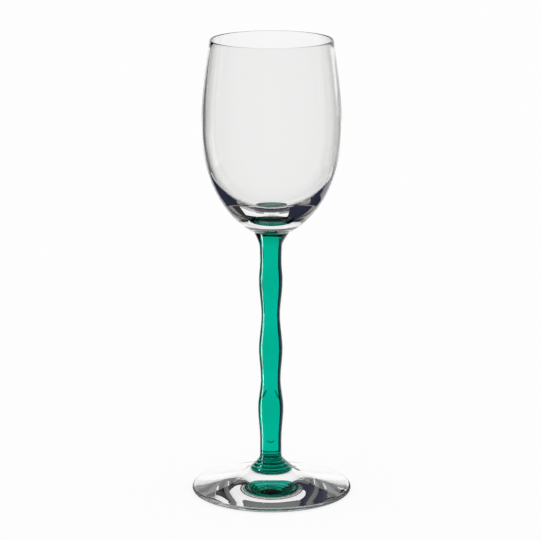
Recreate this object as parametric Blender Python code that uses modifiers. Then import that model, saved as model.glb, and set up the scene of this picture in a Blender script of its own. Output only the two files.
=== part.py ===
"""A white wine glass: a clear blown bowl, a solid green stem with three swells and a clear foot.

Metres, +Z up. The origin is the middle of the foot's underside, on the surface that the glass stands on.
The three pieces are turned about the Z axis and are fused to each other, with a hair's gap left at each seam.
"""

import math

import bpy
from mathutils import Vector
from mathutils.geometry import interpolate_bezier

# Foot: a clear disc with a rounded edge, a low dome that rises to the stem and a shallow hollow underneath
FOOT_DIAMETER = 0.0758
FOOT_EDGE = 0.0021
FOOT_RISE = 0.0109
FOOT_RING_WIDTH = 0.0042
FOOT_HOLLOW_DEPTH = 0.0004
DOME_STEEPNESS = math.radians(42)
DOME_FALL = math.radians(14.5)

# Stem: a solid green rod, read upwards from its blunt end in the foot to its low crown under the bowl
SEAT_DEPTH = 0.0075
SEAT_DIAMETER = 0.0188
SEAT_BLUNTNESS = 0.5
STEM_BASE_DIAMETER = 0.0197
BASE_FLARE_RISE = 0.0068
BASE_SLOPE = math.radians(45)
LOW_WAIST_RISE = 0.0127
LOW_WAIST_DIAMETER = 0.0101
LOW_SWELL_RISE = 0.0164
LOW_SWELL_DIAMETER = 0.0121
MIDDLE_WAIST_RISE = 0.0139
MIDDLE_WAIST_DIAMETER = 0.0094
MIDDLE_SWELL_RISE = 0.0147
MIDDLE_SWELL_DIAMETER = 0.0113
HIGH_WAIST_RISE = 0.0167
HIGH_WAIST_DIAMETER = 0.0088
HIGH_SWELL_RISE = 0.0170
HIGH_SWELL_DIAMETER = 0.0112
TOP_WAIST_RISE = 0.0092
TOP_WAIST_DIAMETER = 0.0101
SHOULDER_RISE = 0.0150
SHOULDER_DIAMETER = 0.0180
SHOULDER_SLANT = math.radians(27)
CROWN_RISE = 0.0022
CROWN_FULLNESS = 2.5

# Bowl: a clear tulip with a thick base, read upwards from its seam on the stem's shoulder
BASE_THICKNESS = 0.0076
BASE_SLANT = math.radians(68)
BELLY_RISE = 0.0501
BELLY_DIAMETER = 0.0654
BELLY_WALL = 0.0015
RIM_RISE = 0.0398
RIM_DIAMETER = 0.0575
RIM_WALL = 0.0009
RIM_LEAN = math.radians(8.2)

# How far each curve keeps to its own direction at its start and at its end, as a share of its run
DOME_KEEP = (0.25, 0.60)
HOLLOW_KEEP = (0.40, 0.50)
BASE_FLARE_KEEP = (0.35, 0.57)
SHOULDER_KEEP = (0.67, 0.25)
SWELL_KEEP = (0.40, 0.40)
CAVITY_KEEP = (0.37, 0.87)
WALL_KEEP = (0.53, 0.25)
BASE_KEEP = (0.68, 0.12)

# Fused seams keep this gap between the two pieces
SEAM_GAP = 0.0003

# Faces around each turned piece, and along the curves of its profile
WIDE_STEPS = 48
STEM_STEPS = 32
LONG_CURVE = 14
SHORT_CURVE = 8
SWELL_CURVE = 6
EDGE_CURVE = 6

# Heights that follow from the sizes above
stem_base_height = FOOT_RISE + SEAM_GAP
low_waist_height = stem_base_height + LOW_WAIST_RISE
low_swell_height = low_waist_height + LOW_SWELL_RISE
middle_waist_height = low_swell_height + MIDDLE_WAIST_RISE
middle_swell_height = middle_waist_height + MIDDLE_SWELL_RISE
high_waist_height = middle_swell_height + HIGH_WAIST_RISE
high_swell_height = high_waist_height + HIGH_SWELL_RISE
top_waist_height = high_swell_height + TOP_WAIST_RISE
shoulder_height = top_waist_height + SHOULDER_RISE
bowl_base_height = shoulder_height + SEAM_GAP
cavity_floor_height = bowl_base_height + BASE_THICKNESS
belly_height = bowl_base_height + BELLY_RISE
rim_height = belly_height + RIM_RISE


def curve(start, start_pull, end_pull, end, count):
    """Points of a cubic curve from start to end, pulled along the two given steps; the start is left out."""
    start = Vector(start)
    end = Vector(end)
    points = interpolate_bezier(start, start + Vector(start_pull), end - Vector(end_pull), end, count + 1)
    return [(point[0], point[1]) for point in points[1:]]


def half_round(start, end, count):
    """Points between start and end on a half circle that bulges to the left of the way from start to end."""
    middle = (Vector(start) + Vector(end)) / 2
    reach = Vector(start) - middle
    across = Vector((reach[1], -reach[0]))
    angles = [math.pi * step / count for step in range(1, count)]
    return [tuple(middle + reach * math.cos(angle) + across * math.sin(angle)) for angle in angles]


def heading(slant, length):
    """A step of the given length that runs down, leaning away from the glass's axis by an angle."""
    return (math.sin(slant) * length, -math.cos(slant) * length)


def blunt_end(radius, top, depth, count):
    """Points of the stem's end from its top edge down to the axis: a quarter ellipse with a fuller corner."""
    angles = [math.pi / 2 * step / count for step in range(count)]
    shares = [(math.cos(angle) ** SEAT_BLUNTNESS, math.sin(angle) ** SEAT_BLUNTNESS) for angle in angles]
    points = [(radius * across, top - depth * down) for across, down in shares]
    return points + [(0.0, top - depth)]


def crown(height, count):
    """Points of the stem's domed top, from the axis out to the shoulder ring at the given height."""
    shares = [step / count for step in range(count + 1)]
    radius = SHOULDER_DIAMETER / 2
    return [(radius * share, height + CROWN_RISE * (1 - share ** CROWN_FULLNESS)) for share in shares]


def turned(name, profile, steps, material, collection):
    """A solid of revolution; its (radius, height) profile goes from axis to axis, down the outer side."""
    mesh = bpy.data.meshes.new(name)
    points = [(radius, 0.0, height) for radius, height in profile]
    edges = [(index, index + 1) for index in range(len(points) - 1)]
    mesh.from_pydata(points, edges, [])
    mesh.materials.append(material)
    piece = bpy.data.objects.new(name, mesh)
    collection.objects.link(piece)
    screw = piece.modifiers.new("turn", "SCREW")
    screw.axis = "Z"
    screw.steps = steps
    screw.render_steps = steps
    screw.use_merge_vertices = True
    screw.merge_threshold = 0.00001
    screw.use_smooth_shade = True


def glass(name, color, alpha):
    """Polished glass of one colour."""
    material = bpy.data.materials.new(name)
    material.use_nodes = True
    shader = material.node_tree.nodes["Principled BSDF"]
    shader.inputs["Base Color"].default_value = (*color, 1.0)
    shader.inputs["Roughness"].default_value = 0.02
    shader.inputs["Metallic"].default_value = 0.0
    shader.inputs["IOR"].default_value = 1.52
    shader.inputs["Transmission Weight"].default_value = 1.0
    shader.inputs["Alpha"].default_value = alpha
    return material


def foot_profile():
    """From the stem's seat out over the dome to the rounded edge, then in over the ring and the hollow."""
    seat = blunt_end(SEAT_DIAMETER / 2 + SEAM_GAP, FOOT_RISE, SEAT_DEPTH, SHORT_CURVE)
    dome_top = (STEM_BASE_DIAMETER / 2, FOOT_RISE)
    edge_radius = FOOT_DIAMETER / 2 - FOOT_EDGE / 2
    edge_top = (edge_radius, FOOT_EDGE)
    edge_bottom = (edge_radius, 0.0)
    dome_run = edge_radius - dome_top[0]
    dome_start = heading(math.pi / 2 - DOME_STEEPNESS, dome_run * DOME_KEEP[0])
    dome_end = heading(math.pi / 2 - DOME_FALL, dome_run * DOME_KEEP[1])
    ring_inner = (edge_radius - FOOT_RING_WIDTH, 0.0)
    hollow_start = (-ring_inner[0] * HOLLOW_KEEP[0], 0.0)
    hollow_end = (-ring_inner[0] * HOLLOW_KEEP[1], 0.0)
    profile = list(reversed(seat))
    profile.append(dome_top)
    profile += curve(dome_top, dome_start, dome_end, edge_top, LONG_CURVE)
    profile += half_round(edge_top, edge_bottom, EDGE_CURVE)
    profile += [edge_bottom, ring_inner]
    profile += curve(ring_inner, hollow_start, hollow_end, (0.0, FOOT_HOLLOW_DEPTH), SWELL_CURVE)
    return profile


def stem_profile():
    """From the crown down over the shoulder, the swells and the flared base to the blunt end."""
    shoulder = (SHOULDER_DIAMETER / 2, shoulder_height)
    bends = (
        (TOP_WAIST_DIAMETER / 2, top_waist_height),
        (HIGH_SWELL_DIAMETER / 2, high_swell_height),
        (HIGH_WAIST_DIAMETER / 2, high_waist_height),
        (MIDDLE_SWELL_DIAMETER / 2, middle_swell_height),
        (MIDDLE_WAIST_DIAMETER / 2, middle_waist_height),
        (LOW_SWELL_DIAMETER / 2, low_swell_height),
        (LOW_WAIST_DIAMETER / 2, low_waist_height),
    )
    flare_top = (LOW_WAIST_DIAMETER / 2, stem_base_height + BASE_FLARE_RISE)
    base = (STEM_BASE_DIAMETER / 2, stem_base_height)
    shoulder_start = heading(-SHOULDER_SLANT, SHOULDER_RISE * SHOULDER_KEEP[1])
    shoulder_end = (0.0, -SHOULDER_RISE * SHOULDER_KEEP[0])
    flare_start = (0.0, -BASE_FLARE_RISE * BASE_FLARE_KEEP[0])
    flare_end = heading(math.pi / 2 - BASE_SLOPE, BASE_FLARE_RISE * BASE_FLARE_KEEP[1])
    profile = crown(shoulder_height, SHORT_CURVE)
    profile += curve(shoulder, shoulder_start, shoulder_end, bends[0], SHORT_CURVE)
    for above, below in zip(bends[:-1], bends[1:]):
        fall = below[1] - above[1]
        profile += curve(above, (0.0, fall * SWELL_KEEP[0]), (0.0, fall * SWELL_KEEP[1]), below, SWELL_CURVE)
    profile.append(flare_top)
    profile += curve(flare_top, flare_start, flare_end, base, SHORT_CURVE)
    profile += blunt_end(SEAT_DIAMETER / 2, stem_base_height, SEAT_DEPTH, SHORT_CURVE)
    return profile


def bowl_profile():
    """From the cavity's middle up its wall, over the lip, down the outside and in over the crown."""
    lip_height = rim_height - RIM_WALL / 2
    outer_rim = (RIM_DIAMETER / 2, lip_height)
    inner_rim = (outer_rim[0] - RIM_WALL, lip_height)
    outer_belly = (BELLY_DIAMETER / 2, belly_height)
    inner_belly = (outer_belly[0] - BELLY_WALL, belly_height)
    base = (SHOULDER_DIAMETER / 2, bowl_base_height)
    floor = (0.0, cavity_floor_height)
    floor_start = (inner_belly[0] * CAVITY_KEEP[0], 0.0)
    floor_end = (0.0, (belly_height - cavity_floor_height) * CAVITY_KEEP[1])
    rim_pull = Vector(heading(RIM_LEAN, RIM_RISE * WALL_KEEP[0]))
    belly_pull = Vector((0.0, -RIM_RISE * WALL_KEEP[1]))
    base_start = (0.0, -BELLY_RISE * BASE_KEEP[0])
    base_end = heading(-BASE_SLANT, BELLY_RISE * BASE_KEEP[1])
    profile = [floor]
    profile += curve(floor, floor_start, floor_end, inner_belly, LONG_CURVE)
    profile += curve(inner_belly, -belly_pull, -rim_pull, inner_rim, SHORT_CURVE)
    profile += half_round(inner_rim, outer_rim, EDGE_CURVE)
    profile.append(outer_rim)
    profile += curve(outer_rim, rim_pull, belly_pull, outer_belly, SHORT_CURVE)
    profile += curve(outer_belly, base_start, base_end, base, LONG_CURVE)
    profile += list(reversed(crown(bowl_base_height, SHORT_CURVE)))[1:]
    return profile


for old_object in list(bpy.data.objects):
    bpy.data.objects.remove(old_object, do_unlink=True)

glass_parts = bpy.data.collections.new("white_wine_glass")
bpy.context.scene.collection.children.link(glass_parts)

clear_bowl_glass = glass("clear_bowl_glass", (0.97, 0.98, 0.98), 0.25)
green_stem_glass = glass("green_stem_glass", (0.0, 0.42, 0.29), 0.75)
clear_foot_glass = glass("clear_foot_glass", (0.96, 0.98, 0.97), 0.3)

turned("foot", foot_profile(), WIDE_STEPS, clear_foot_glass, glass_parts)
turned("stem", stem_profile(), STEM_STEPS, green_stem_glass, glass_parts)
turned("bowl", bowl_profile(), WIDE_STEPS, clear_bowl_glass, glass_parts)
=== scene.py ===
"""A white wine glass on a white table.

It has a clear blown bowl, a solid green stem and a clear foot, fused together while they were hot.
"""

import math

import bmesh
import bpy
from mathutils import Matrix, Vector
from mathutils.geometry import interpolate_bezier


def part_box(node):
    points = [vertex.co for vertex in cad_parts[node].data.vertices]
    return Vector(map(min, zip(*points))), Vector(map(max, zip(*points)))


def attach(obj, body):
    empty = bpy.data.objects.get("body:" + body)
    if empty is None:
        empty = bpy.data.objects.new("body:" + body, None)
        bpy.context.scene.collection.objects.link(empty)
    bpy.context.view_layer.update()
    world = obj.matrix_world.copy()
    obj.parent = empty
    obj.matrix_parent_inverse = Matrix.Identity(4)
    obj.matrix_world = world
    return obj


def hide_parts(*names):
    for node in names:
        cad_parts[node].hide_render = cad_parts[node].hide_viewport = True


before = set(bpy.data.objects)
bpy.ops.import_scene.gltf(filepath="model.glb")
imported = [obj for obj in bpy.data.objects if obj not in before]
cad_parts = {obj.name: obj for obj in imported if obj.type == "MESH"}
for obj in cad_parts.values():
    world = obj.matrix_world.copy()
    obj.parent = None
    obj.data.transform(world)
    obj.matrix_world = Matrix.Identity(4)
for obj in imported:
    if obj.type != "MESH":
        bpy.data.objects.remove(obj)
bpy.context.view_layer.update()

# Bowl
# Clear glass, blown into a mould and turned in it, then cracked off and polished with a flame at the rim.
# Its wall is thin at the rim and thickens into a solid base, which is fused over the stem's flared top.

bowl_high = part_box("bowl")[1]
rim_height = bowl_high.z
rim_radius = 0.02875
rim_wall = 0.0008
rim_lean = math.radians(8.2)
belly_height = 0.1772
belly_radius = bowl_high.x
belly_wall = 0.0013
cavity_floor = 0.1346
# Inside the base the stem's top widens from its neck over a short lip into a low crown
neck_height = 0.1263
neck_radius = 0.0085
base_slant = math.radians(67.3)
crown_radius = 0.0093
crown_lip = 0.0015
crown_rise = 0.001
crown_fullness = 0.93
# How far each curve of the bowl keeps to its own direction, as a share of its rise or run
rim_keep = 0.53
above_belly_keep = 0.25
cavity_floor_keep = 0.357
cavity_side_keep = 0.889
below_belly_keep = 0.7
base_keep = 0.112
# Points along the bowl's curves, and steps around it
side_points = 48
wall_points = 20
rim_points = 10
crown_points = 16
bowl_steps = 160
glass_ior = 1.52
# At a fused seam each clear piece reaches this far into the green glass, so that no film of air is left
fusing = 0.00002
# Points closer together than this are one point
merge_distance = 0.000002


def curve(start, start_pull, end_pull, end, count):
    """Points of a cubic curve from start to end, pulled along two steps; the start is left out."""
    start = Vector(start)
    end = Vector(end)
    points = interpolate_bezier(start, start + Vector(start_pull), end - Vector(end_pull), end, count + 1)
    return [(point[0], point[1]) for point in points[1:]]


def half_round(start, end, count):
    """Points between start and end on a half circle that bulges to the left of the way there."""
    middle = (Vector(start) + Vector(end)) / 2
    reach = Vector(start) - middle
    across = Vector((reach[1], -reach[0]))
    angles = [math.pi * step / count for step in range(1, count)]
    return [tuple(middle + reach * math.cos(angle) + across * math.sin(angle)) for angle in angles]


def heading(slant, length):
    """A step of the given length that runs down, leaning away from the glass's axis by an angle."""
    return (math.sin(slant) * length, -math.cos(slant) * length)


def polished(piece):
    """Smooth shading that keeps the edges of the seams sharp."""
    sharp_from = math.radians(38)
    piece.data.shade_smooth()
    piece.data.set_sharp_from_angle(angle=sharp_from)


def turned(name, profile, steps):
    """A closed solid of revolution. Its (radius, height) profile goes from axis to axis, down the outside."""
    shape = bmesh.new()
    points = [shape.verts.new((radius, 0.0, height)) for radius, height in profile]
    edges = [shape.edges.new(pair) for pair in zip(points[:-1], points[1:])]
    bmesh.ops.spin(
        shape, geom=points + edges, cent=(0, 0, 0), axis=(0, 0, 1), angle=math.tau, steps=steps)
    bmesh.ops.remove_doubles(shape, verts=shape.verts, dist=merge_distance)
    bmesh.ops.recalc_face_normals(shape, faces=shape.faces)
    mesh = bpy.data.meshes.new(name)
    shape.to_mesh(mesh)
    shape.free()
    piece = bpy.data.objects.new(name, mesh)
    bpy.context.scene.collection.objects.link(piece)
    polished(piece)
    return piece


class Wire:
    """A socket of a node tree. Arithmetic on it adds Math nodes, and node() adds any other node."""

    def __init__(self, tree, socket=None):
        self.tree = tree
        self.socket = socket

    def node(self, kind, inputs, settings=None, output=0):
        """Adds a node, sets its settings first and then its sockets, and returns one of its outputs."""
        made = self.tree.nodes.new(kind)
        for name, value in (settings or {}).items():
            setattr(made, name, value)
        for name, value in inputs.items():
            if isinstance(value, Wire):
                self.tree.links.new(value.socket, made.inputs[name])
            else:
                made.inputs[name].default_value = value
        return Wire(self.tree, made.outputs[output])

    def math(self, operation, first, second):
        return self.node("ShaderNodeMath", {0: first, 1: second}, {"operation": operation})

    def __add__(self, other):
        return self.math("ADD", self, other)

    def __radd__(self, other):
        return self.math("ADD", other, self)

    def __sub__(self, other):
        return self.math("SUBTRACT", self, other)

    def __rsub__(self, other):
        return self.math("SUBTRACT", other, self)

    def __mul__(self, other):
        return self.math("MULTIPLY", self, other)

    def __rmul__(self, other):
        return self.math("MULTIPLY", other, self)

    def __truediv__(self, other):
        return self.math("DIVIDE", self, other)

    def __pow__(self, other):
        return self.math("POWER", self, other)


def glass(name):
    """A clear polished glass: its material, its shader and a wire that starts new nodes beside it."""
    material = bpy.data.materials.new(name)
    material.use_nodes = True
    shader = material.node_tree.nodes["Principled BSDF"]
    shader.inputs["IOR"].default_value = glass_ior
    shader.inputs["Transmission Weight"].default_value = 1.0
    return material, shader, Wire(material.node_tree)


outer_rim = (rim_radius, rim_height - rim_wall / 2)
inner_rim = (rim_radius - rim_wall, rim_height - rim_wall / 2)
outer_belly = (belly_radius, belly_height)
inner_belly = (belly_radius - belly_wall, belly_height)
bowl_base = (neck_radius, neck_height)
rim_rise = rim_height - belly_height
belly_rise = belly_height - neck_height
rim_pull = Vector(heading(rim_lean, rim_rise * rim_keep))
above_belly_pull = Vector((0.0, -rim_rise * above_belly_keep))
below_belly_pull = (0.0, -belly_rise * below_belly_keep)
base_pull = heading(-base_slant, belly_rise * base_keep)
floor_pull = (inner_belly[0] * cavity_floor_keep, 0.0)
side_pull = (0.0, (belly_height - cavity_floor) * cavity_side_keep)
bowl_profile = [(0.0, cavity_floor)]
bowl_profile += curve((0.0, cavity_floor), floor_pull, side_pull, inner_belly, side_points)
bowl_profile += curve(inner_belly, -above_belly_pull, -rim_pull, inner_rim, wall_points)
bowl_profile += half_round(inner_rim, outer_rim, rim_points)
bowl_profile.append(outer_rim)
bowl_profile += curve(outer_rim, rim_pull, above_belly_pull, outer_belly, wall_points)
bowl_profile += curve(outer_belly, below_belly_pull, base_pull, bowl_base, side_points)
crown_base = neck_height + crown_lip - fusing
bowl_profile.append((crown_radius - fusing, crown_base))
for step in range(1, crown_points + 1):
    crown_turn = math.pi / 2 * step / crown_points
    crown_out = max(math.cos(crown_turn) * crown_radius - fusing, 0.0)
    bowl_profile.append((crown_out, crown_base + crown_rise * math.sin(crown_turn) ** crown_fullness))
bowl = turned("clear_bowl", bowl_profile, bowl_steps)

# The blown wall is a hair uneven, and its polish varies a little
bowl_wave_scale = 45.0
bowl_wave_depth = 0.000006
bowl_film_scale = 130.0
bowl_film_roughness = 0.012
bowl_glass, bowl_shader, start = glass("clear_bowl_glass")
bowl_place = start.node("ShaderNodeTexCoord", {}, output="Object")
bowl_waves = start.node(
    "ShaderNodeTexNoise", {"Vector": bowl_place, "Scale": bowl_wave_scale, "Detail": 1.0})
bowl_bump = start.node(
    "ShaderNodeBump", {"Height": bowl_waves, "Distance": bowl_wave_depth, "Strength": 1.0})
bowl_film = start.node(
    "ShaderNodeTexNoise", {"Vector": bowl_place, "Scale": bowl_film_scale, "Detail": 4.0})
bowl_roughness = bowl_film * bowl_film_roughness
start.tree.links.new(bowl_bump.socket, bowl_shader.inputs["Normal"])
start.tree.links.new(bowl_roughness.socket, bowl_shader.inputs["Roughness"])
bowl_shader.inputs["Base Color"].default_value = (1.0, 1.0, 0.995, 1.0)
bowl.data.materials.append(bowl_glass)
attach(bowl, "root")
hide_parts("bowl")

# Stem
# A solid rod of green glass, drawn out hot and pressed into three swells, with a flare at both ends.
# Its blunt lower end is fused in the foot and its crown in the bowl's base, and it leans a hair to one side.
# The tools that held it hot left fine rings on the lower flare, shaped in the glass, and two hooked lines and
# a short touch mark, painted as dark lines of shade.

stem_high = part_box("stem")[1]
foot_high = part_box("foot")[1]
# The solids leave a gap at this seam, which is closed here halfway
foot_seam = foot_high.z + 0.00015
stem_base_radius = stem_high.x
# Rows along the stem and columns around it, and the shares of the rows that its two ends take
stem_rows = 960
stem_columns = 97
end_share = 0.08
crown_share = 0.06
# The share of the crown's rows that its lip takes
lip_share = 0.2
# The side's rows lie closer together towards the bottom, where the rings are
row_crowding = 1.8
ring_sharpness = 5.0
# How fast the unevenness left by hand changes around the stem and along it
hand_turn = 0.6
hand_climb = 90.0
# Height and radius of each waist and swell, from the lowest waist up
stem_bends = (
    (0.0239, 0.00505),
    (0.0403, 0.00605),
    (0.0542, 0.0047),
    (0.0689, 0.00565),
    (0.0856, 0.0044),
    (0.1026, 0.0056),
    (0.1118, 0.00505),
)
stem_sizes = {
    "Seat Radius": stem_base_radius - 0.0001,
    "Seat Depth": 0.0042,
    "Seat Bluntness": 0.8,
    "Base Height": foot_seam,
    "Base Radius": stem_base_radius,
    "Base Corner": 0.0155,
    "Base Softness": 0.001,
    "Neck Height": neck_height,
    "Neck Radius": neck_radius,
    "Neck Corner": 0.1202,
    "Neck Softness": 0.0015,
    "Crown Lip": crown_lip,
    "Crown Radius": crown_radius,
    "Crown Rise": crown_rise,
    "Crown Fullness": crown_fullness,
    "Lean": -0.00038,
    "Lean Reach": 0.006,
    "Ring Depth": 0.0006,
    "Ring Spacing": 0.0014,
    "Lowest Ring": 0.012,
    "Highest Ring": 0.0176,
    "Hand Unevenness": 0.00006,
}
for number, (height, radius) in enumerate(stem_bends, 1):
    stem_sizes[f"Bend {number} Height"] = height
    stem_sizes[f"Bend {number} Radius"] = radius

green_glass, green_shader, start = glass("green_stem_glass")
green_place = start.node("ShaderNodeTexCoord", {}, output="Object")


def parts_of(vector, count):
    """The first numbers of a vector, each as a wire."""
    return [vector.node("ShaderNodeSeparateXYZ", {0: vector}, output=axis) for axis in range(count)]


def size_of(value):
    """A value without its sign."""
    return value.math("ABSOLUTE", value, 0.0)


def eased_share(value, low, high):
    """How far a value is on its way from low to high, from 0 to 1, eased at both ends."""
    inputs = {"Value": value, "From Min": low, "From Max": high, "To Min": 0.0, "To Max": 1.0}
    return value.node("ShaderNodeMapRange", inputs, {"interpolation_type": "SMOOTHSTEP"})


def bell_line(off, width):
    """A fine line whose middle is where a distance is nothing, as a bell curve."""
    power = (off / width) * (off / width) * -1.0
    return power.math("EXPONENT", power, 0.0)


# Painted shade of two hooked lines where the tongs gripped the front, one on either side: they climb from the
# sides inwards, grow wider on the way, and fade out at their tops and at the stem's edges
grip_height = 0.0451
grip_climb = 0.0049
grip_inward = 0.57
grip_width = 0.0003
grip_widening = 0.001
grip_top = (0.0497, 0.0503)
grip_edge = (0.8, 0.9)
# Painted shade of a short line lower down, which turns up at its ends
touch_height = 0.0244
touch_climb = 0.006
touch_width = 0.00038
touch_edge = (0.26, 0.42)
front_fade = 0.001
# How far from the middle of the stem's face a place is, as a share of its radius
across, depth, up = parts_of(green_place, 3)
aside = size_of(across - stem_sizes["Lean"]) / (across * across + depth * depth) ** 0.5
front = eased_share(depth * -1.0, 0.0, front_fade)
grip_way = (1.0 - aside) / grip_inward
grip_line_shade = bell_line(
    up - grip_height - grip_climb * grip_way * grip_way, grip_width + grip_widening * grip_way)
grip_line_shade = grip_line_shade * (1.0 - eased_share(up, *grip_top)) * (1.0 - eased_share(aside, *grip_edge))
touch_line_shade = bell_line(up - touch_height - touch_climb * aside * aside, touch_width)
touch_line_shade = touch_line_shade * (1.0 - eased_share(aside, *touch_edge))
painted_mark_shade = (grip_line_shade + touch_line_shade) * front
# Painted shade: the glass's colour is darker along these lines and towards both fused ends, and nearly black
# over the crown in the bowl's base
end_darkness = 0.3
end_heights = (0.0165, 0.0195)
crown_darkness = 0.9
crown_heights = (neck_height + 0.0005, neck_height + 0.001)
painted_end_shade = (1.0 - eased_share(up, *end_heights)) * end_darkness
painted_crown_shade = eased_share(up, *crown_heights) * crown_darkness
painted_shade = painted_mark_shade.math("MAXIMUM", painted_mark_shade, painted_end_shade + painted_crown_shade)
green_and_painted_shade = start.node(
    "ShaderNodeMix", {"Factor": painted_shade, "A": (0.0, 0.68, 0.58, 1.0), "B": (0.0, 0.0, 0.0, 1.0)},
    {"data_type": "RGBA"}, output="Result")
start.tree.links.new(green_and_painted_shade.socket, green_shader.inputs["Base Color"])
green_film_scale = 160.0
green_film_roughness = 0.01
green_film = start.node(
    "ShaderNodeTexNoise", {"Vector": green_place, "Scale": green_film_scale, "Detail": 3.0})
green_roughness = green_film * green_film_roughness
start.tree.links.new(green_roughness.socket, green_shader.inputs["Roughness"])
# The glass also takes up red and blue on the way through, so thicker places are a deeper green
green_depth = start.node(
    "ShaderNodeVolumeAbsorption", {"Color": (0.0, 0.935, 0.89, 1.0), "Density": 500.0})
start.tree.links.new(green_depth.socket, start.tree.nodes["Material Output"].inputs["Volume"])

stem_tree = bpy.data.node_groups.new("swelling_stem", "GeometryNodeTree")
stem_tree.interface.new_socket("Geometry", in_out="OUTPUT", socket_type="NodeSocketGeometry")
for name in stem_sizes:
    stem_tree.interface.new_socket(name, in_out="INPUT", socket_type="NodeSocketFloat")
stem_inputs = stem_tree.nodes.new("NodeGroupInput")
size = {name: Wire(stem_tree, stem_inputs.outputs[name]) for name in stem_sizes}
start = Wire(stem_tree)


def within(value, low, high):
    """A value held between two limits."""
    return value.node("ShaderNodeClamp", {"Value": value, "Min": low, "Max": high})


def sine(angle):
    return angle.math("SINE", angle, 0.0)


def cosine(angle):
    return angle.math("COSINE", angle, 0.0)


def past_corner(distance, softness):
    """Nothing before a rounded corner and a straight rise after it, as a hyperbola."""
    return distance + (distance * distance + softness * softness) ** 0.5


def flare(height, end_height, corner, softness):
    """The share of a flare that a height has reached, on its way past the corner to the end."""
    reach = end_height - corner
    way = (height - corner) * reach.math("SIGN", reach, 0.0)
    return past_corner(way, softness) / past_corner(size_of(reach), softness)


sheet = start.node(
    "GeometryNodeMeshGrid",
    {"Size X": 1.0, "Size Y": 1.0, "Vertices X": stem_columns, "Vertices Y": stem_rows})
where_x, where_y = parts_of(start.node("GeometryNodeInputPosition", {}), 2)
turn = (where_x + 0.5) * math.tau
along = where_y + 0.5

# The blunt end: a quarter ellipse with a fuller corner
end_turn = within(along / end_share, 0.0, 1.0) * (math.pi / 2)
end_out = within(sine(end_turn), 0.0, 1.0) ** size["Seat Bluntness"]
end_down = within(cosine(end_turn), 0.0, 1.0) ** size["Seat Bluntness"]
end_radius = size["Seat Radius"] * end_out
end_height = size["Base Height"] - size["Seat Depth"] * end_down

# The side: waists, swells, both flares and the rings
side_share = within((along - end_share) / (1.0 - end_share - crown_share), 0.0, 1.0) ** row_crowding
side_height = size["Base Height"] + (size["Neck Height"] - size["Base Height"]) * side_share
side_radius = size["Bend 1 Radius"]
for lower in range(1, len(stem_bends)):
    eased = eased_share(side_height, size[f"Bend {lower} Height"], size[f"Bend {lower + 1} Height"])
    side_radius = side_radius + eased * (size[f"Bend {lower + 1} Radius"] - size[f"Bend {lower} Radius"])
base_flare = flare(side_height, size["Base Height"], size["Base Corner"], size["Base Softness"])
top_flare = flare(side_height, size["Neck Height"], size["Neck Corner"], size["Neck Softness"])
side_radius = side_radius + base_flare * (size["Base Radius"] - size["Bend 1 Radius"])
side_radius = side_radius + top_flare * (size["Neck Radius"] - size[f"Bend {len(stem_bends)} Radius"])
half_ring = size["Ring Spacing"] * 0.5
ringed = eased_share(side_height, size["Lowest Ring"] - half_ring, size["Lowest Ring"])
ringed = ringed * (1.0 - eased_share(side_height, size["Highest Ring"], size["Highest Ring"] + half_ring))
rings = cosine((side_height - size["Lowest Ring"]) / size["Ring Spacing"] * math.tau)
rings = (rings * 0.5 + 0.5) ** ring_sharpness
side_radius = side_radius - rings * ringed * size["Ring Depth"]
hand_place = start.node("ShaderNodeCombineXYZ", {
    0: cosine(turn) * hand_turn,
    1: sine(turn) * hand_turn,
    2: side_height * hand_climb,
})
hand = start.node("ShaderNodeTexNoise", {"Vector": hand_place, "Scale": 1.0, "Detail": 0.0})
above_base = size["Base Height"] + size["Lean Reach"]
below_neck = size["Neck Height"] - size["Lean Reach"]
free_side = eased_share(side_height, size["Base Height"], above_base)
free_side = free_side * eased_share(side_height, size["Neck Height"], below_neck)
side_radius = side_radius + (hand - 0.5) * free_side * size["Hand Unevenness"]

# The crown: a short lip that widens over the neck, and a low dome on it
crown_way = within((along - (1.0 - crown_share)) / crown_share, 0.0, 1.0)
lip_way = within(crown_way / lip_share, 0.0, 1.0)
crown_turn = within((crown_way - lip_share) / (1.0 - lip_share), 0.0, 1.0) * (math.pi / 2)
lip_radius = size["Neck Radius"] + (size["Crown Radius"] - size["Neck Radius"]) * lip_way
crown_out = lip_radius * within(cosine(crown_turn), 0.0, 1.0)
crown_height = size["Crown Rise"] * within(sine(crown_turn), 0.0, 1.0) ** size["Crown Fullness"]
crown_height = size["Neck Height"] + size["Crown Lip"] * lip_way + crown_height

on_end = along.math("LESS_THAN", along, end_share)
on_crown = along.math("GREATER_THAN", along, 1.0 - crown_share)
on_side = 1.0 - on_end - on_crown
stem_radius = end_radius * on_end + side_radius * on_side + crown_out * on_crown
stem_height = end_height * on_end + side_height * on_side + crown_height * on_crown
stem_point = start.node("ShaderNodeCombineXYZ", {
    0: stem_radius * cosine(turn) + size["Lean"] * free_side * on_side,
    1: stem_radius * sine(turn),
    2: stem_height,
})
skin = start.node("GeometryNodeSetPosition", {"Geometry": sheet, "Position": stem_point})
skin = start.node("GeometryNodeMergeByDistance", {"Geometry": skin, "Distance": merge_distance})
skin = start.node("GeometryNodeRealizeInstances", {"Geometry": skin})
skin = start.node("GeometryNodeSetMaterial", {"Geometry": skin, "Material": green_glass})
stem_output = stem_tree.nodes.new("NodeGroupOutput")
stem_tree.links.new(skin.socket, stem_output.inputs["Geometry"])

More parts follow.
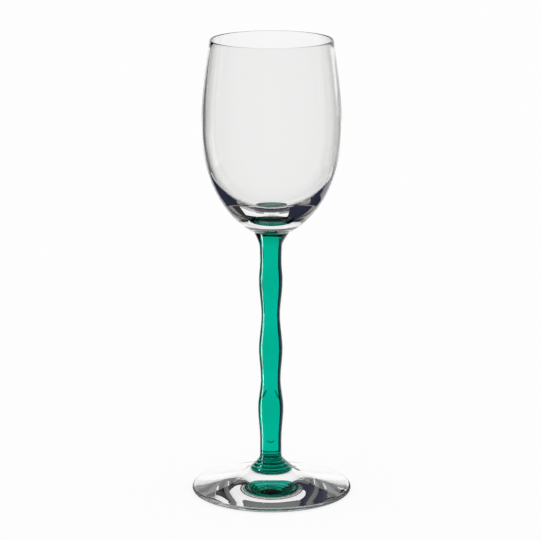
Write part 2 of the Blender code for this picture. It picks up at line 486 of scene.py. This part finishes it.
stem = bpy.data.objects.new("green_stem", bpy.data.meshes.new("stem_start"))
bpy.context.scene.collection.objects.link(stem)
shaping = stem.modifiers.new("shaping", "NODES")
shaping.node_group = stem_tree
for item in stem_tree.interface.items_tree:
    if item.item_type == "SOCKET" and item.in_out == "INPUT":
        shaping[item.identifier] = stem_sizes[item.name]
stem_mesh = bpy.data.meshes.new_from_object(stem.evaluated_get(bpy.context.evaluated_depsgraph_get()))
stem.modifiers.remove(shaping)
stem.data = stem_mesh
stem_mesh.name = "green_stem"
polished(stem)
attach(stem, "root")
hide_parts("stem")

# Foot
# A gather of clear glass, spread hot into a disc on the stem's end, with a rounded edge and a low dome.
# Its underside is slightly hollow, so that the glass stands on a ring near the edge.

foot_radius = foot_high.x
foot_edge = 0.0021
ring_width = 0.0042
hollow_depth = 0.0003
dome_steepness = math.radians(42)
dome_fall = math.radians(14.5)
# How far the dome and the hollow keep to their direction at both ends, as a share of their run
dome_keep = (0.25, 0.6)
hollow_keep = (0.4, 0.5)
# Points along the foot's curves, and steps around it
seat_points = 30
dome_points = 50
edge_points = 14
hollow_points = 30
foot_steps = 192
edge_radius = foot_radius - foot_edge / 2
edge_top = (edge_radius, foot_edge)
edge_bottom = (edge_radius, 0.0)
dome_top = (stem_base_radius, foot_seam)
dome_run = edge_radius - stem_base_radius
ring_inner = (edge_radius - ring_width, 0.0)
foot_profile = [(0.0, foot_seam - stem_sizes["Seat Depth"] + fusing)]
for step in range(1, seat_points + 1):
    seat_turn = math.pi / 2 * step / seat_points
    seat_out = math.sin(seat_turn) ** stem_sizes["Seat Bluntness"]
    seat_down = max(math.cos(seat_turn), 0.0) ** stem_sizes["Seat Bluntness"]
    foot_profile.append((
        stem_sizes["Seat Radius"] * seat_out - fusing,
        foot_seam - stem_sizes["Seat Depth"] * seat_down + fusing))
foot_profile.append(dome_top)
dome_pull = heading(math.pi / 2 - dome_steepness, dome_run * dome_keep[0])
fall_pull = heading(math.pi / 2 - dome_fall, dome_run * dome_keep[1])
foot_profile += curve(dome_top, dome_pull, fall_pull, edge_top, dome_points)
foot_profile += half_round(edge_top, edge_bottom, edge_points)
foot_profile += [edge_bottom, ring_inner]
ring_pull = (-ring_inner[0] * hollow_keep[0], 0.0)
hollow_pull = (-ring_inner[0] * hollow_keep[1], 0.0)
foot_profile += curve(ring_inner, ring_pull, hollow_pull, (0.0, hollow_depth), hollow_points)
foot = turned("clear_foot", foot_profile, foot_steps)

# The foot was spread by hand, so its waves are a little deeper than the bowl's
foot_wave_scale = 90.0
foot_wave_depth = 0.00001
foot_film_scale = 150.0
foot_film_roughness = 0.01
foot_glass, foot_shader, start = glass("clear_foot_glass")
foot_shader.inputs["Base Color"].default_value = (0.99, 0.995, 0.99, 1.0)
foot_place = start.node("ShaderNodeTexCoord", {}, output="Object")
foot_waves = start.node(
    "ShaderNodeTexNoise", {"Vector": foot_place, "Scale": foot_wave_scale, "Detail": 1.0})
foot_bump = start.node(
    "ShaderNodeBump", {"Height": foot_waves, "Distance": foot_wave_depth, "Strength": 1.0})
foot_film = start.node(
    "ShaderNodeTexNoise", {"Vector": foot_place, "Scale": foot_film_scale, "Detail": 4.0})
foot_roughness = foot_film * foot_film_roughness
start.tree.links.new(foot_bump.socket, foot_shader.inputs["Normal"])
start.tree.links.new(foot_roughness.socket, foot_shader.inputs["Roughness"])
foot.data.materials.append(foot_glass)
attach(foot, "root")
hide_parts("foot")

# Table and background
# A wide white table and a white world, which the camera sees and the glass shows at full white.
# The table keeps a soft shadow of the glass.

table_reach = 6.0
# The table lies a hair below the foot, so that air is left under the glass and its underside mirrors
table_height = -0.0003
table_mesh = bpy.data.meshes.new("white_table")
table_corners = [
    (side * table_reach, back * table_reach, table_height)
    for side, back in ((-1, -1), (1, -1), (1, 1), (-1, 1))]
table_mesh.from_pydata(table_corners, [], [(0, 1, 2, 3)])
table = bpy.data.objects.new("white_table", table_mesh)
bpy.context.scene.collection.objects.link(table)
table_paint = bpy.data.materials.new("table_white")
table_paint.use_nodes = True
table_paint.node_tree.nodes.clear()
start = Wire(table_paint.node_tree)
white = (1.0, 1.0, 1.0)
# Under the foot and close round it a shadow is painted on the table's glow, which the light mirrored inside
# the foot shows
shade = (0.2, 0.2, 0.2)
shade_radius = foot_radius + 0.015
table_place = start.node("ShaderNodeTexCoord", {}, output="Object")
table_x, table_y = parts_of(table_place, 2)
from_axis = (table_x * table_x + table_y * table_y) ** 0.5
mirrored_inside = start.node("ShaderNodeLightPath", {}, output="Glossy Depth")
mirrored_inside = mirrored_inside.math("GREATER_THAN", mirrored_inside, 0.5)
shaded = from_axis.math("LESS_THAN", from_axis, shade_radius) * mirrored_inside
table_shade = start.node(
    "ShaderNodeMix", {"Factor": shaded, "A": (*white, 1.0), "B": (*shade, 1.0)},
    {"data_type": "RGBA"}, output="Result")
table_glow = start.node("ShaderNodeEmission", {"Color": table_shade, "Strength": 1.0})
table_own = start.node("ShaderNodeBsdfDiffuse", {"Color": (0.9, 0.9, 0.9, 1.0)})
# The camera sees some of the table's own surface, which takes the shadow
glow_seen = 0.85
seen = start.node("ShaderNodeLightPath", {}, output="Is Camera Ray")
mirrored = start.node("ShaderNodeLightPath", {}, output="Is Glossy Ray")
through = start.node("ShaderNodeLightPath", {}, output="Is Transmission Ray")
table_white = seen * glow_seen + mirrored + through
table_look = start.node("ShaderNodeMixShader", {0: table_white, 1: table_own, 2: table_glow})
table_output = start.tree.nodes.new("ShaderNodeOutputMaterial")
start.tree.links.new(table_look.socket, table_output.inputs["Surface"])
table_mesh.materials.append(table_paint)

bpy.context.scene.view_settings.view_transform = "Standard"
# Light is followed through the many inner reflections of the foot and of the bowl's base
bpy.context.scene.cycles.max_bounces = 40
bpy.context.scene.cycles.transmission_bounces = 40
bpy.context.scene.cycles.glossy_bounces = 24
world = bpy.data.worlds.new("white_room")
bpy.context.scene.world = world
world.use_nodes = True
world.node_tree.nodes["Background"].inputs["Color"].default_value = (*white, 1.0)
world.node_tree.nodes["Background"].inputs["Strength"].default_value = 1.0

# Camera
# As far off and as high as in the photograph, with a long lens, and tilted down at the glass.

camera_place = (-0.00075, -1.244, 0.4016)
camera_tilt = math.radians(13.3)
camera_data = bpy.data.cameras.new("camera")
camera_data.sensor_width = 36
camera_data.lens = 180.9
camera = bpy.data.objects.new("camera", camera_data)
bpy.context.scene.collection.objects.link(camera)
camera.location = camera_place
camera.rotation_euler = (math.pi / 2 - camera_tilt, 0, 0)
bpy.context.scene.camera = camera

# Cards
# Dark and grey cards stand and lie round the glass, with a white gap behind it, to draw its edges.
# The camera doesn't see them, and they turn with it about the glass, so each view has the same edges.

card_turn = bpy.data.objects.new("card_turn", None)
bpy.context.scene.collection.objects.link(card_turn)
follow = card_turn.constraints.new("COPY_ROTATION")
follow.target = camera
follow.use_x = False
follow.use_y = False


def glowing(name, color, strength):
    """A surface that shows one colour, whatever light falls on it."""
    paint = bpy.data.materials.new(name)
    paint.use_nodes = True
    shader = paint.node_tree.nodes["Principled BSDF"]
    shader.inputs["Base Color"].default_value = (0.0, 0.0, 0.0, 1.0)
    shader.inputs["Specular IOR Level"].default_value = 0.0
    shader.inputs["Emission Color"].default_value = (*color, 1.0)
    shader.inputs["Emission Strength"].default_value = strength
    return paint


def hang(made):
    """Puts a card round the glass where only the glass shows it, and lets it turn with the camera."""
    made.parent = card_turn
    made.visible_camera = False
    made.visible_diffuse = False
    made.visible_shadow = False


def card(name, first_angle, last_angle, points, color, strength=1.0, shown_on=None):
    """A card that bends round the glass, between two angles from straight behind it to the right.

    Its two points give its edges, as radius and height.
    It may glow on one piece only, and is then black to the others.
    """
    degrees_per_step = 4
    steps = max(2, round((last_angle - first_angle) / degrees_per_step))
    vertices = []
    for step in range(steps + 1):
        angle = math.radians(first_angle + (last_angle - first_angle) * step / steps)
        for radius, height in points:
            vertices.append((math.sin(angle) * radius, math.cos(angle) * radius, height))
    faces = [(2 * step, 2 * step + 1, 2 * step + 3, 2 * step + 2) for step in range(steps)]
    mesh = bpy.data.meshes.new(name)
    mesh.from_pydata(vertices, [], faces)
    mesh.materials.append(glowing(name, color, strength))
    made = bpy.data.objects.new(name, mesh)
    bpy.context.scene.collection.objects.link(made)
    hang(made)
    if shown_on:
        receivers = bpy.data.collections.new(f"{name}_shown_on")
        receivers.objects.link(shown_on)
        made.light_linking.receiver_collection = receivers
    return made


navy = (0.022, 0.026, 0.045)
dark_olive = (0.045, 0.04, 0.032)
olive_grey = (0.32, 0.31, 0.28)
pale_grey = (0.5, 0.5, 0.5)
card_radius = 0.3
card_top = 0.6
low_edge = 0.05
# Cards that lie on the table are a hair above it
flat_height = table_height + 0.0001
upright = ((card_radius, 0.0), (card_radius, card_top))
raised = ((card_radius, low_edge), (card_radius, card_top))
near_flat = ((0.045, flat_height), (0.4, flat_height))
far_flat = ((0.42, flat_height), (1.2, flat_height))
card("left_card", -66, -32, upright, navy)
card("left_grey_card", -84, -66, raised, olive_grey, shown_on=bowl)
card("front_left_card", -180, -84, upright, navy)
card("right_card", 50, 63, upright, dark_olive)
card("right_grey_card", 63, 76, raised, olive_grey, shown_on=bowl)
card("front_right_card", 76, 180, upright, navy)
card("low_card", 51, 326, near_flat, navy)
card("far_right_card", 30, 52, far_flat, pale_grey)

# Two more lie behind, to the sides, and draw the bowl's thin edges. They are clear to light that was bent
# only twice, as in the stem, and show where it was bent or mirrored more often.
edge_flat = ((0.4, flat_height), (1.8, flat_height))
bends_in_stem = 2
left_edge_card = card("left_edge_card", -40, -15, edge_flat, olive_grey)
right_edge_card = card("right_edge_card", 15, 30, edge_flat, olive_grey)
for edge_card in (left_edge_card, right_edge_card):
    start = Wire(edge_card.data.materials[0].node_tree)
    times_bent = start.node("ShaderNodeLightPath", {}, output="Transmission Depth")
    times_mirrored = start.node("ShaderNodeLightPath", {}, output="Glossy Depth")
    times = times_bent + times_mirrored
    often = times.math("GREATER_THAN", times, bends_in_stem + 0.5)
    start.tree.links.new(often.socket, start.tree.nodes["Principled BSDF"].inputs["Alpha"])

# A dark ceiling hangs over all. Its edge stands at this angle above the middle of the table.
ceiling_slope = math.radians(30)
ceiling_height = 0.5
ceiling_radius = ceiling_height / math.tan(ceiling_slope)
ceiling_dark = (0.012, 0.016, 0.03)
card("dark_ceiling", -180, 180, ((ceiling_radius, ceiling_height), (0.0, ceiling_height)), ceiling_dark)
# The stem's top still shows white from higher up behind it, from a card just under the ceiling
high_height = ceiling_height * 0.99
high_strip = ((ceiling_radius * 1.02, high_height), (0.6, high_height))
high_card = card("high_white_card", -50, 50, high_strip, white, shown_on=stem)
high_card.visible_glossy = False


def shine(name, first_angle, last_angle, points, color, strength, piece):
    """A bright card whose mirror image shows on one piece only, as the shine of a lamp."""
    made = card(name, first_angle, last_angle, points, color, strength, piece)
    made.visible_transmission = False


strip_radius = 0.055
strip_top = 0.12
strip = ((strip_radius, 0.0), (strip_radius, strip_top))
lamp_strength = 11.0
dull_blue = (0.3, 0.38, 0.55)
shine("left_strip", -91, -82, strip, white, lamp_strength, stem)
shine("right_strip", 52, 84, strip, dull_blue, 1.0, stem)
